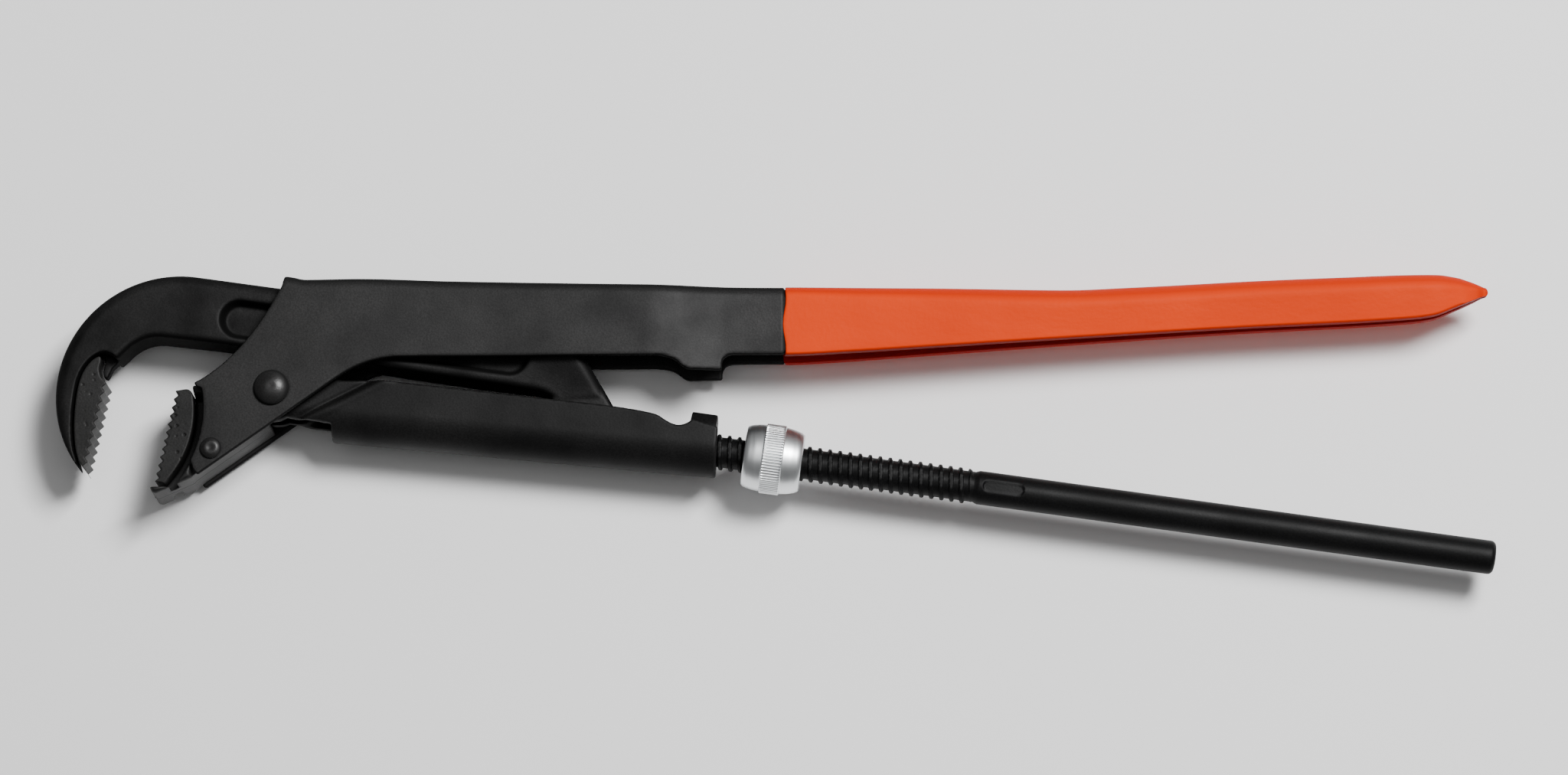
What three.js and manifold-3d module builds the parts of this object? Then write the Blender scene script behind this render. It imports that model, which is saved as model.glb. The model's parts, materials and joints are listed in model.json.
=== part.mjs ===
// Swedish-pattern pipe wrench, lying on its side.
// Millimetres. +X runs from the hook jaw to the handle ends, +Y from the rod to the grip, +Z up.
// Shapes are drawn about the pivot rivet; the whole group is shifted to its origin at the end.
import * as THREE from 'three';
import { mergeVertices } from 'three/addons/utils/BufferGeometryUtils.js';
import Module from 'manifold-3d';

const wasm = await Module();
wasm.setup();

// ---------------------------------------------------------------- driving dimensions
const GAP = 0.3; // clearance kept between neighbouring pieces
const JAW_SLOPE = THREE.MathUtils.degToRad(7.9); // the rod and the hook's travel slope down by this
const ROD_LINE = 1.3; // rod axis above the pivot, square to the rod

const SHEET = 2.4; // thickness of the pressed steel handles
const CHEEK_HALF = 13; // half the width over the cheeks, at the pivot
const BODY_HALF = 12; // half the width of the handle's deep front channel
const NECK_HALF = 8.6; // half the width where the grip starts
const WEB = 1.9; // thickness of the handle's back at the front channel
const OUTER_BEND = 3.4; // radius of the channel's outer corners
const INNER_BEND = 1.2; // bevel in the channel's inner corners
const THINNEST_HALF = 0.3; // least half width of the channel's hollow, near the handle's tip
const GRIP_START = 151;
const COAT_PROUD = 0.15; // how far the grip's coat stands proud of the handle's outline
const COAT = 0.5; // thickness of the coat
const STEEL_INSET = COAT + GAP - COAT_PROUD; // how far the steel under the coat draws in

const PIVOT_R = 4.5;
const PIVOT_DOME = { radius: 5.2, height: 2.9 };
const SEAT_RIVET_AT = { x: -17.5, y: -18.1 };
const SEAT_RIVET_R = 2.2;
const SEAT_RIVET_DOME = { radius: 3.1, height: 1.7 };
const BUSH_R = 7;

const SEAT_CENTRE = { x: -55, y: -6.3 }; // centre of the arc that the lower insert rests in
const INSERT_BACK_R = 31.8;
const CHEEK_ARC_R = 34.9;
const INSERT_HALF = 8.4;
const HEEL_HALF = 11.4; // half the width of the seat block's heel
const SOCKET_HALF = 5; // half the width of the seat block behind the insert

const HOOK_HALF = 8.4;
const SHANK_LOW = 12.1; // shank's under edge and back edge above the pivot, square to the rod
const SHANK_TOP = 31.3;
const HOOK_ARC = { x: -27.8, y: SHANK_TOP - 36.2, radius: 36.2 };
const BOSS_HALF = 5.2;
const HOOK_INSERT_HALF = 7.4;
const RECESS = { from: -13.2, to: 67.8, mid: 20, radius: 5.2, floor: 4.7 }; // in each side of the shank

const TROUGH_HALF = 9.2;
const TROUGH_IN = TROUGH_HALF - SHEET + 0.1; // inner half width of the trough
const EAR_IN = 5.5; // the ears are pinched in, to reach between the cheeks
const EAR_OUT = 7.9;
const EAR_NOSE_R = 8.6;

const ROD_R = 5;
const CREST_R = 5.28;
const ROOT_R = 4.5;
const PITCH = 3;
const THREAD_FROM = 106; // along the rod from the pivot
const THREAD_TO = 209;
const ROD_END = 363.8;
const TENON_R = 3;
const TENON_FROM = 88;
const PIN_R = 1.1; // cross pin that holds the rod's tenon in the hook
const PIN_AT = 95;

const NUT = {
  start: 140.3, cone: 5.7, band: 5.7, tail: 5.9, bandR: 10.35, coneR: 9.85, frontR: 8.9, tailR: 8.45,
};

// ---------------------------------------------------------------- solids and booleans
function solidOf(geometry) {
  const bare = geometry.clone();
  bare.deleteAttribute('normal');
  bare.deleteAttribute('uv');
  const merged = mergeVertices(bare, 1e-4);
  const vertProperties = new Float32Array(merged.attributes.position.array);
  const triVerts = new Uint32Array(merged.index.array);
  return new wasm.Manifold(new wasm.Mesh({ numProp: 3, vertProperties, triVerts }));
}

function geometryOf(solid) {
  const { vertProperties, triVerts } = solid.getMesh();
  const geometry = new THREE.BufferGeometry();
  geometry.setAttribute('position', new THREE.BufferAttribute(vertProperties, 3));
  geometry.setIndex(new THREE.BufferAttribute(triVerts, 1));
  geometry.computeVertexNormals();
  return geometry;
}

const joined = (...solids) => solids.reduce((whole, next) => whole.add(next));

// A flat plate of an outline, from one height to another.
function plate(shape, low, high, curveSegments = 14) {
  const depth = high - low;
  const geometry = new THREE.ExtrudeGeometry(shape, { depth, bevelEnabled: false, curveSegments });
  return solidOf(geometry.translate(0, 0, low));
}

// The same plate on both sides of the middle plane.
const bothSides = (shape, low, high) => joined(plate(shape, low, high), plate(shape, -high, -low));

// An upright round bar standing on the middle plane at a point.
function upright(radius, halfLength, at = { x: 0, y: 0 }, sides = 28) {
  const bar = new THREE.CylinderGeometry(radius, radius, 2 * halfLength, sides).rotateX(Math.PI / 2);
  return solidOf(bar.translate(at.x, at.y, 0));
}

const pointsOf = (pairs) => pairs.map(([x, y]) => new THREE.Vector2(x, y));
const shapeOf = (pairs) => new THREE.Shape(pointsOf(pairs));

// Moves each side of a closed outline outwards by a distance (inwards when negative).
function grown(points, distance) {
  const turn = THREE.ShapeUtils.isClockWise(points) ? 1 : -1;
  return points.map((point, i) => {
    const before = points[(i + points.length - 1) % points.length];
    const after = points[(i + 1) % points.length];
    const into = point.clone().sub(before).normalize();
    const out = after.clone().sub(point).normalize();
    const middle = into.clone().add(out).normalize();
    const reach = (turn * distance) / Math.max(0.5, middle.dot(out));
    return new THREE.Vector2(point.x - middle.y * reach, point.y + middle.x * reach);
  });
}

// Joins rings of equal length into one closed body; each ring is a list of Vector3.
function loft(rings) {
  const count = rings[0].length;
  const positions = rings.flat().flatMap((point) => [point.x, point.y, point.z]);
  const index = [];
  for (let ring = 0; ring + 1 < rings.length; ring += 1) {
    for (let i = 0; i < count; i += 1) {
      const here = ring * count + i;
      const next = ring * count + ((i + 1) % count);
      index.push(here, next, here + count, next, next + count, here + count);
    }
  }
  const flat = (ring) => ring.map((point) => new THREE.Vector2(point.z, point.y));
  const last = (rings.length - 1) * count;
  for (const [a, b, c] of THREE.ShapeUtils.triangulateShape(flat(rings[0]), [])) index.push(a, c, b);
  for (const [a, b, c] of THREE.ShapeUtils.triangulateShape(flat(rings.at(-1)), [])) {
    index.push(last + a, last + b, last + c);
  }
  const geometry = new THREE.BufferGeometry();
  geometry.setAttribute('position', new THREE.Float32BufferAttribute(positions, 3));
  geometry.setIndex(index);
  const solid = solidOf(geometry.toNonIndexed());
  return solid.volume() > 0 ? solid : solidOf(turnedInsideOut(geometry).toNonIndexed());
}

function turnedInsideOut(geometry) {
  const index = geometry.index.array.slice().reverse();
  return geometry.clone().setIndex(new THREE.BufferAttribute(index, 1));
}

// A value that changes in straight steps between [x, value] pairs.
const along = (pairs) => (x) => {
  const after = pairs.findIndex(([at]) => at >= x);
  if (after === -1) return pairs.at(-1)[1];
  if (after === 0) return pairs[0][1];
  const [[x0, v0], [x1, v1]] = [pairs[after - 1], pairs[after]];
  return THREE.MathUtils.mapLinear(x, x0, x1, v0, v1);
};

// ---------------------------------------------------------------- materials
const steel = (color, roughness) => new THREE.MeshStandardMaterial({ color, roughness, metalness: 0.6 });
const finishes = {
  pressedSteel: steel(0x202122, 0.5),
  forgedSteel: steel(0x252627, 0.55),
  hardenedSteel: steel(0x2c2d2e, 0.5),
  rivetSteel: steel(0x2a2b2c, 0.4),
  rodSteel: steel(0x161718, 0.42),
  platedSteel: new THREE.MeshStandardMaterial({ color: 0xc9cdd0, roughness: 0.28, metalness: 1 }),
  gripCoat: new THREE.MeshStandardMaterial({ color: 0xe2521c, roughness: 0.55, metalness: 0 }),
};

// ---------------------------------------------------------------- the upper handle's pressed channel
const handleHalf = along([
  [-30, CHEEK_HALF], [10, CHEEK_HALF], [70, BODY_HALF], [112, BODY_HALF], [118, 11.3], [126, 9.9],
  [134, 8.9], [140, NECK_HALF], [GRIP_START, NECK_HALF], [200, 7.6], [245, 6.5], [300, 5.5],
  [345, 5.1], [362, 4],
]);
const handleBulge = along([[GRIP_START, 0], [220, 0.8], [300, 1.2], [340, 1], [358, 0.2]]);
const handleTop = along([
  [-30, 33.9], [4.5, 33.9], [9.2, 33.1], [16, 33.2], [25, 33.4], [52, 32.8], [107, 32],
  [GRIP_START, 31.6], [191, 31.6], [234, 31.3], [255, 32.2], [291, 34.2], [319, 35.4], [337, 36.1],
  [346, 36.2], [362, 36.2],
]);
const handleFoot = along([[-30, -34], [40, 4], [GRIP_START, 3], [200, 10], [300, 17], [362, 20]]);
const handleWeb = along([[-30, WEB], [340, WEB], [352, 5], [362, 12]]);
const STATIONS = [
  -30, 4.5, 9.2, 16, 25, 52, 70, 112, 118, 126, 134, 140, GRIP_START, 175, 200, 234, 255, 291, 319,
  337, 346, 352, 362,
];

// One U-shaped section, open downwards. inset shrinks the outside, wall and back thicken the sheet.
function channelSection(x, inset, wall, back) {
  const foot = handleFoot(x);
  const top = handleTop(x) - inset;
  const half = handleHalf(x) - inset;
  const shoulder = half + handleBulge(x);
  const corner = Math.min(OUTER_BEND, half * 0.55);
  const bend = [0, 30, 60, 90].map(THREE.MathUtils.degToRad).map((angle) => [
    shoulder - corner + corner * Math.cos(angle),
    top - corner + corner * Math.sin(angle),
  ]);
  const innerHalf = Math.max(THINNEST_HALF, half - wall);
  const innerShoulder = Math.max(THINNEST_HALF, shoulder - wall);
  const innerTop = top - back;
  const bevel = Math.min(INNER_BEND, innerShoulder / 2);
  const outside = [[half, foot], ...bend];
  const inside = [
    [innerShoulder - bevel, innerTop], [innerShoulder, innerTop - INNER_BEND], [innerHalf, foot],
  ];
  const mirrored = (points) => points.map(([z, y]) => [-z, y]).reverse();
  const ring = [...outside, ...mirrored(outside), ...mirrored(inside), ...inside];
  return ring.map(([z, y]) => new THREE.Vector3(x, y, z));
}

function channel(from, to, inset, wall, extraBack) {
  const stations = [from, ...STATIONS.filter((x) => x > from && x < to), to];
  return loft(stations.map((x) => channelSection(x, inset, wall, handleWeb(x) + extraBack)));
}

// The handle seen from its side: cheek, throat, stop tab, tapering grip and pointed end.
function handleOutline() {
  const shape = new THREE.Shape();
  shape.moveTo(-21.4, -25.9);
  shape.lineTo(19.3, 3.2);
  shape.quadraticCurveTo(27.7, 9.2, 37.3, 9.5);
  shape.lineTo(112, 10.2);
  shape.quadraticCurveTo(117, 10.2, 119.7, 8.2);
  shape.quadraticCurveTo(121.5, 6.2, 123.4, 6.2);
  shape.lineTo(132.6, 6.2);
  shape.lineTo(132.6, 8.1);
  shape.quadraticCurveTo(133, 10.8, 136, 10.9);
  shape.lineTo(GRIP_START, 11);
  shape.splineThru(pointsOf([[191, 13.4], [234, 16.4], [283, 19.6], [338, 22.8]]));
  shape.quadraticCurveTo(344, 23.3, 350, 26);
  shape.lineTo(359, 29.6);
  shape.quadraticCurveTo(361.6, 30.8, 360, 32.2);
  shape.quadraticCurveTo(354, 36.4, 345, 36.4);
  shape.lineTo(300, 37);
  shape.lineTo(3.8, 36.5);
  shape.lineTo(2.4, 30.5);
  shape.quadraticCurveTo(-7.5, 10.5, -21, 2.4);
  shape.lineTo(-22.9, 1.6);
  shape.lineTo(-22, 0.2);
  const start = Math.asin(-SEAT_CENTRE.y / CHEEK_ARC_R);
  const end = Math.asin((-21.6 - SEAT_CENTRE.y) / CHEEK_ARC_R);
  shape.absarc(SEAT_CENTRE.x, SEAT_CENTRE.y, CHEEK_ARC_R, start, end, true);
  shape.lineTo(-22.6, -24.4);
  return shape.getPoints(8);
}

const OUTLINE = handleOutline();
const handleBlank = (growth) => plate(new THREE.Shape(grown(OUTLINE, growth)), -20, 20);

const box = (x0, x1, y0, y1, halfZ) => solidOf(
  new THREE.BoxGeometry(x1 - x0, y1 - y0, 2 * halfZ).translate((x0 + x1) / 2, (y0 + y1) / 2, 0),
);

const FAR = 400;
const beforeGrip = () => box(-FAR, GRIP_START, -FAR, FAR, 50);
const afterGrip = () => box(GRIP_START, FAR, -FAR, FAR, 50);

function upperHandle() {
  const bare = channel(-30, GRIP_START, 0, SHEET, 0).intersect(handleBlank(0)).intersect(beforeGrip());
  const gripped = channel(GRIP_START, 361, STEEL_INSET, SHEET, 0.2).intersect(handleBlank(-STEEL_INSET));
  const holes = joined(upright(PIVOT_R + GAP, 20), upright(SEAT_RIVET_R + GAP, 20, SEAT_RIVET_AT));
  return joined(bare, gripped.intersect(box(GRIP_START - 0.5, FAR, -FAR, FAR, 50))).subtract(holes);
}

function gripSleeve() {
  const build = 2 * (COAT + GAP); // coat and clearance on both faces of the steel
  const outer = channel(GRIP_START, 362, -COAT_PROUD, SHEET + build, build + 0.2);
  const cavityInset = COAT - COAT_PROUD;
  const cavity = channel(GRIP_START - 5, 361.2, cavityInset, SHEET + 2 * GAP, 0.2 + 2 * GAP);
  const whole = outer.intersect(handleBlank(COAT_PROUD)).intersect(afterGrip());
  return whole.subtract(cavity.intersect(handleBlank(-cavityInset)));
}

// ---------------------------------------------------------------- the seat block and its toothed insert
// A row of saw teeth from one point to another; each tooth falls back by depth behind its tip.
function teeth(from, to, count, depth) {
  const run = new THREE.Vector2(...to).sub(new THREE.Vector2(...from)).divideScalar(count);
  const inward = new THREE.Vector2(-run.y, run.x).normalize().multiplyScalar(depth);
  const points = [];
  for (let i = 0; i < count; i += 1) {
    const tip = new THREE.Vector2(...from).addScaledVector(run, i);
    points.push(tip);
    points.push(tip.clone().addScaledVector(run, 0.35).add(inward));
  }
  points.push(new THREE.Vector2(...to));
  return points;
}

const LOWER_TEETH = { from: [-28.7, 0], to: [-34.4, -27.2], count: 11, depth: 1 };

function arcPoints(centre, radius, fromAngle, toAngle, steps) {
  return Array.from({ length: steps + 1 }, (_, i) => {
    const angle = THREE.MathUtils.lerp(fromAngle, toAngle, i / steps);
    return new THREE.Vector2(centre.x + radius * Math.cos(angle), centre.y + radius * Math.sin(angle));
  });
}

function lowerInsert() {
  const { from, to, count, depth } = LOWER_TEETH;
  const lowest = Math.asin(-21.4 / INSERT_BACK_R);
  const highest = Math.asin(5.2 / INSERT_BACK_R);
  const back = arcPoints(SEAT_CENTRE, INSERT_BACK_R, lowest, highest, 10);
  const outline = [...teeth(from, to, count, depth), ...back, new THREE.Vector2(-24.9, 0.5)];
  return plate(new THREE.Shape(outline), -INSERT_HALF, INSERT_HALF);
}

// The block between the cheeks: a round socket for the insert, a flared heel, room for the ears.
function seatBlock() {
  const inCheeks = CHEEK_HALF - SHEET - GAP;
  const toe = [[-34.9, -30.2], [-33.6, -30.9], [-23.4, -26.3]];
  const body = shapeOf([
    ...toe, [-20.6, -24.1], [-0.6, -9.9], [-9.5, -4], [-12.2, 1], [-22, 0.8], [-40, -18],
  ]);
  const heel = shapeOf([...toe, [-23.6, -20], [-40, -20]]);
  const blank = joined(plate(body, -inCheeks, inCheeks), plate(heel, -HEEL_HALF, HEEL_HALF));
  const aboveToe = box(-60, 0, -29, 5, 20);
  const socket = upright(INSERT_BACK_R + GAP, 20, SEAT_CENTRE, 96).intersect(aboveToe);
  const openSides = box(-60, 0, -29.2, 5, 20).subtract(box(-60, 0, -40, 5, SOCKET_HALF));
  const sides = upright(CHEEK_ARC_R + 0.2, 20, SEAT_CENTRE, 96).intersect(openSides);
  const ears = upright(EAR_NOSE_R + 0.8, 20, undefined, 40);
  const crown = upright(SHANK_LOW, 20, undefined, 40).intersect(box(-20, 20, -4.5, 20, 20));
  const hole = upright(SEAT_RIVET_R + GAP, 20, SEAT_RIVET_AT);
  return blank.subtract(joined(socket, sides, ears, crown, hole));
}

// ---------------------------------------------------------------- rivets, bush and pin
// A rivet across the cheeks: a round shank with a domed head outside each cheek.
function rivet(shankR, dome, at) {
  const under = CHEEK_HALF + GAP;
  const profile = [new THREE.Vector2(0, -under - dome.height)];
  const head = [20, 45, 70, 90].map(THREE.MathUtils.degToRad).map((angle) => [
    dome.radius * Math.sin(angle),
    under + dome.height * Math.cos(angle),
  ]);
  head.forEach(([r, z]) => profile.push(new THREE.Vector2(r, -z)));
  profile.push(new THREE.Vector2(shankR, -under), new THREE.Vector2(shankR, under));
  head.reverse().forEach(([r, z]) => profile.push(new THREE.Vector2(r, z)));
  profile.push(new THREE.Vector2(0, under + dome.height));
  const turned = new THREE.LatheGeometry(profile, 28).rotateX(Math.PI / 2);
  return solidOf(turned.translate(at.x, at.y, 0));
}

function pivotBush() {
  const half = EAR_IN - GAP;
  return upright(BUSH_R, half).subtract(upright(PIVOT_R + GAP, 20));
}

// ---------------------------------------------------------------- the lower channel
// Height of the underside of the trough's round bottom.
const troughLow = (x) => THREE.MathUtils.mapLinear(x, 15, 131, -13.9, -24.8);

function troughSection(x, radius, rise) {
  const centre = troughLow(x) + TROUGH_HALF;
  const steps = 10;
  const ring = Array.from({ length: steps + 1 }, (_, i) => {
    const angle = -Math.PI + (Math.PI * i) / steps;
    return [radius * Math.cos(angle), centre + radius * Math.sin(angle)];
  });
  ring.push([radius, rise], [-radius, rise]);
  return ring.map(([z, y]) => new THREE.Vector3(x, y, z));
}

const troughBar = (from, to, radius, rise) => loft([from, to].map((x) => troughSection(x, radius, rise)));

function lowerChannel() {
  const side = new THREE.Shape();
  side.moveTo(17.3, -20);
  side.lineTo(130, -30);
  side.lineTo(131.6, -11);
  side.lineTo(124, -8.5);
  side.quadraticCurveTo(122, -10.3, 119.8, -10.3);
  side.quadraticCurveTo(117.8, -10.3, 114.2, -7.6);
  side.quadraticCurveTo(112.4, -6.3, 97.6, -4.3);
  side.lineTo(31, 3.2);
  side.lineTo(28.8, -1.2);
  side.lineTo(16.2, -7.6);
  const rise = 8;
  const hollow = troughBar(5, 140, TROUGH_IN, rise + 5);
  const shell = troughBar(10, 135, TROUGH_HALF, rise).subtract(hollow);
  const trough = shell.intersect(plate(side, -20, 20));
  return joined(trough, ears(), collar()).subtract(upright(PIVOT_R + GAP, 20));
}

// Side plates that step inwards from the trough and reach forward round the pivot.
function ears() {
  const ear = new THREE.Shape();
  ear.moveTo(17.2, -9.6);
  ear.lineTo(6, -7.9);
  ear.absarc(0, 0, EAR_NOSE_R, THREE.MathUtils.degToRad(-62), THREE.MathUtils.degToRad(152), true);
  ear.lineTo(-4.6, 10.6);
  ear.quadraticCurveTo(1.5, 12.6, 6.5, 10);
  ear.lineTo(14, 4.2);
  ear.lineTo(21, 3.2);
  ear.lineTo(31, 3.2);
  ear.lineTo(32.4, -0.2);
  const step = shapeOf([
    [15.9, -9.9], [18.6, -8.9], [33.6, -0.9], [33.4, 2.9], [30.6, 3.2], [28.2, -0.2], [15.6, -6.8],
  ]);
  return joined(bothSides(ear, EAR_IN, EAR_OUT), bothSides(step, EAR_IN, TROUGH_HALF));
}

// The closed loop at the trough's rear end that the rod runs through.
function collar() {
  const loopFrom = 123.2;
  const loopTo = 131.2;
  const low = -7.8;
  const high = 10.3;
  const shoulder = high - 5;
  const loop = new THREE.Shape();
  loop.absarc(0, low + TROUGH_HALF, TROUGH_HALF, Math.PI, 2 * Math.PI, false);
  loop.lineTo(TROUGH_HALF, shoulder);
  loop.quadraticCurveTo(TROUGH_HALF, high, 2.6, high);
  loop.lineTo(-2.6, high);
  loop.quadraticCurveTo(-TROUGH_HALF, high, -TROUGH_HALF, shoulder);
  const bore = new THREE.Path().absarc(0, 0, CREST_R + 0.4, 0, 2 * Math.PI, true);
  loop.holes.push(bore);
  const depth = loopTo - loopFrom;
  const geometry = new THREE.ExtrudeGeometry(loop, { depth, bevelEnabled: false, curveSegments: 10 });
  geometry.rotateY(Math.PI / 2).translate(loopFrom, ROD_LINE, 0).rotateZ(-JAW_SLOPE);
  return solidOf(geometry);
}

// ---------------------------------------------------------------- the hook jaw, drawn square to the rod
const HOOK_TEETH = { from: [-49.1, -4.4], to: [-51.1, -31.2], count: 10, depth: 1 };
const HOOK_INSERT_BACK = [
  [-53.6, -28.6], [-55.4, -24.6], [-57, -17], [-57.5, -9], [-57.2, -4], [-56, -0.3], [-54, 2.6],
  [-52.2, 3.6], [-51.8, 1.8], [-52.2, -0.4], [-51.2, -2.6],
];

function hookInsertOutline() {
  const { from, to, count, depth } = HOOK_TEETH;
  return [...teeth(from, to, count, -depth), ...pointsOf(HOOK_INSERT_BACK)];
}

// The pocket behind the insert, open on the side where the teeth are.
function hookPocket() {
  const open = [[-45, -3.4], [-45, -36], [-51.4, -32.6]];
  return plate(new THREE.Shape(grown(pointsOf([...open, ...HOOK_INSERT_BACK]), GAP)), -20, 20);
}

function hookInsert() {
  return plate(new THREE.Shape(hookInsertOutline()), -HOOK_INSERT_HALF, HOOK_INSERT_HALF);
}

function hookOutline() {
  const shape = new THREE.Shape();
  const tipAngle = THREE.MathUtils.degToRad(225);
  shape.moveTo(74, SHANK_TOP);
  shape.lineTo(HOOK_ARC.x, HOOK_ARC.y + HOOK_ARC.radius);
  shape.absarc(HOOK_ARC.x, HOOK_ARC.y, HOOK_ARC.radius, Math.PI / 2, tipAngle, false);
  shape.quadraticCurveTo(-52.6, -31.5, -50.6, -31.6);
  shape.lineTo(-49.6, -2);
  shape.lineTo(-48.6, 1.2);
  shape.quadraticCurveTo(-46.4, 4.2, -43.8, 7.6);
  shape.quadraticCurveTo(-39.6, SHANK_LOW - 0.4, -34, SHANK_LOW - 0.4);
  shape.lineTo(-20, SHANK_LOW);
  shape.lineTo(77, SHANK_LOW);
  shape.quadraticCurveTo(82, 11, 83.4, 8.4);
  shape.lineTo(84.4, 6.5);
  shape.lineTo(99.6, 10.7);
  shape.lineTo(88.6, 24.4);
  shape.quadraticCurveTo(83, SHANK_TOP, 74, SHANK_TOP);
  return shape;
}

// The boss that reaches down into the trough and holds the rod's front end.
function hookBoss() {
  const neck = shapeOf([[79, 16], [83.4, 8.4], [86, ROD_LINE], [104, ROD_LINE], [104, 5], [92, 20]]);
  const barrel = new THREE.CylinderGeometry(BOSS_HALF, BOSS_HALF, 18, 28).rotateZ(Math.PI / 2);
  return joined(plate(neck, -BOSS_HALF, BOSS_HALF), solidOf(barrel.translate(95, ROD_LINE, 0)));
}

function hookJaw() {
  const slot = new THREE.Shape();
  slot.absarc(RECESS.from, RECESS.mid, RECESS.radius, Math.PI / 2, -Math.PI / 2, false);
  slot.absarc(RECESS.to, RECESS.mid, RECESS.radius, -Math.PI / 2, Math.PI / 2, false);
  const boreR = TENON_R + GAP;
  const boreLength = 40;
  const boreBar = new THREE.CylinderGeometry(boreR, boreR, boreLength, 24).rotateZ(Math.PI / 2);
  const bore = solidOf(boreBar.translate(TENON_FROM - GAP + boreLength / 2, ROD_LINE, 0));
  const blank = joined(plate(hookOutline(), -HOOK_HALF, HOOK_HALF), hookBoss());
  const flanks = box(60, 120, -20, 11.4, 20).subtract(box(50, 130, -30, 30, BOSS_HALF));
  const recesses = bothSides(slot, RECESS.floor, 20);
  return blank.subtract(joined(recesses, hookPocket(), bore, flanks, rodPinBar(PIN_R + GAP, 20)));
}

// ---------------------------------------------------------------- the rod, drawn square to itself
const rodPinBar = (radius, half) => upright(radius, half, { x: PIN_AT, y: ROD_LINE }, 20);

// Radius of the threaded rod at a fraction of the pitch: flat root, sloped flanks, flat crest.
function threadRadius(fraction) {
  const wave = Math.abs(((fraction % 1) + 1) % 1 - 0.5) * 4 - 1;
  const flank = THREE.MathUtils.mapLinear(wave, -0.7, 0.7, ROOT_R, CREST_R);
  return THREE.MathUtils.clamp(flank, ROOT_R, CREST_R);
}

function threadedBar() {
  const sides = 12;
  const stepsPerPitch = 4;
  const count = Math.round(((THREAD_TO - THREAD_FROM) / PITCH) * stepsPerPitch);
  const rings = Array.from({ length: count + 1 }, (_, i) => {
    const x = THREAD_FROM + (i * PITCH) / stepsPerPitch;
    const atEnd = i === 0 || i === count;
    return Array.from({ length: sides }, (_unused, k) => {
      const angle = (2 * Math.PI * k) / sides;
      const radius = atEnd ? ROOT_R : threadRadius(i / stepsPerPitch + k / sides);
      return new THREE.Vector3(x, ROD_LINE + radius * Math.sin(angle), radius * Math.cos(angle));
    });
  });
  return loft(rings);
}

function handleRod() {
  const turned = (profile) => solidOf(
    new THREE.LatheGeometry(profile.map(([r, x]) => new THREE.Vector2(r, x)), 24)
      .rotateZ(-Math.PI / 2).translate(0, ROD_LINE, 0),
  );
  const overlap = 4; // how far the plain ends reach into the thread
  const bevel = 1.3;
  const tenon = turned([
    [0, TENON_FROM], [TENON_R, TENON_FROM], [TENON_R, THREAD_FROM - 0.5], [ROOT_R, THREAD_FROM + 1],
    [ROOT_R, THREAD_FROM + overlap], [0, THREAD_FROM + overlap],
  ]);
  const bar = turned([
    [0, THREAD_TO - overlap], [ROOT_R, THREAD_TO - overlap], [ROOT_R, THREAD_TO],
    [ROD_R, THREAD_TO + 1.2], [ROD_R, ROD_END - bevel], [ROD_R - bevel, ROD_END], [0, ROD_END],
  ]);
  return joined(tenon, threadedBar(), bar).subtract(rodPinBar(PIN_R + GAP, 20));
}

const rodPin = () => rodPinBar(PIN_R, BOSS_HALF - 0.1);

function adjustingNut() {
  const bore = CREST_R + GAP;
  const coneEnd = NUT.start + NUT.cone;
  const bandEnd = coneEnd + NUT.band;
  const end = bandEnd + NUT.tail;
  const bevel = 0.7;
  const profile = [
    [bore, NUT.start], [NUT.frontR - bevel, NUT.start], [NUT.frontR, NUT.start + bevel],
    [NUT.coneR, coneEnd - 0.2], [NUT.bandR, coneEnd], [NUT.bandR, bandEnd], [NUT.coneR, bandEnd + 0.2],
    [NUT.tailR, end - bevel], [NUT.tailR - bevel, end], [bore, end], [bore, NUT.start],
  ];
  const geometry = new THREE.LatheGeometry(profile.map(([r, x]) => new THREE.Vector2(r, x)), 36);
  return solidOf(geometry.rotateZ(-Math.PI / 2).translate(0, ROD_LINE, 0));
}

// ---------------------------------------------------------------- the assembly
const fixed = new THREE.Group();
const alongRod = new THREE.Group();
alongRod.rotation.z = -JAW_SLOPE;

function add(group, name, solid, material) {
  const mesh = new THREE.Mesh(geometryOf(solid), material.clone());
  mesh.name = name;
  group.add(mesh);
}

add(fixed, 'upper_handle', upperHandle(), finishes.pressedSteel);
add(fixed, 'grip_sleeve', gripSleeve(), finishes.gripCoat);
add(fixed, 'jaw_seat_block', seatBlock(), finishes.forgedSteel);
add(fixed, 'lower_jaw_insert', lowerInsert(), finishes.hardenedSteel);
add(fixed, 'pivot_rivet', rivet(PIVOT_R, PIVOT_DOME, { x: 0, y: 0 }), finishes.rivetSteel);
add(fixed, 'seat_rivet', rivet(SEAT_RIVET_R, SEAT_RIVET_DOME, SEAT_RIVET_AT), finishes.rivetSteel);
add(fixed, 'lower_channel', lowerChannel(), finishes.pressedSteel);
add(fixed, 'pivot_bush', pivotBush(), finishes.rivetSteel);
add(alongRod, 'hook_jaw', hookJaw(), finishes.forgedSteel);
add(alongRod, 'hook_jaw_insert', hookInsert(), finishes.hardenedSteel);
add(alongRod, 'handle_rod', handleRod(), finishes.rodSteel);
add(alongRod, 'rod_pin', rodPin(), finishes.rivetSteel);
add(alongRod, 'adjusting_nut', adjustingNut(), finishes.platedSteel);

const wrench = new THREE.Group();
wrench.add(fixed, alongRod);

// Origin at the middle of the base of the whole wrench's box.
const bounds = new THREE.Box3().setFromObject(wrench, true);
const middle = bounds.getCenter(new THREE.Vector3());
wrench.position.set(-middle.x, -middle.y, -bounds.min.z);

export default wrench;
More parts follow.
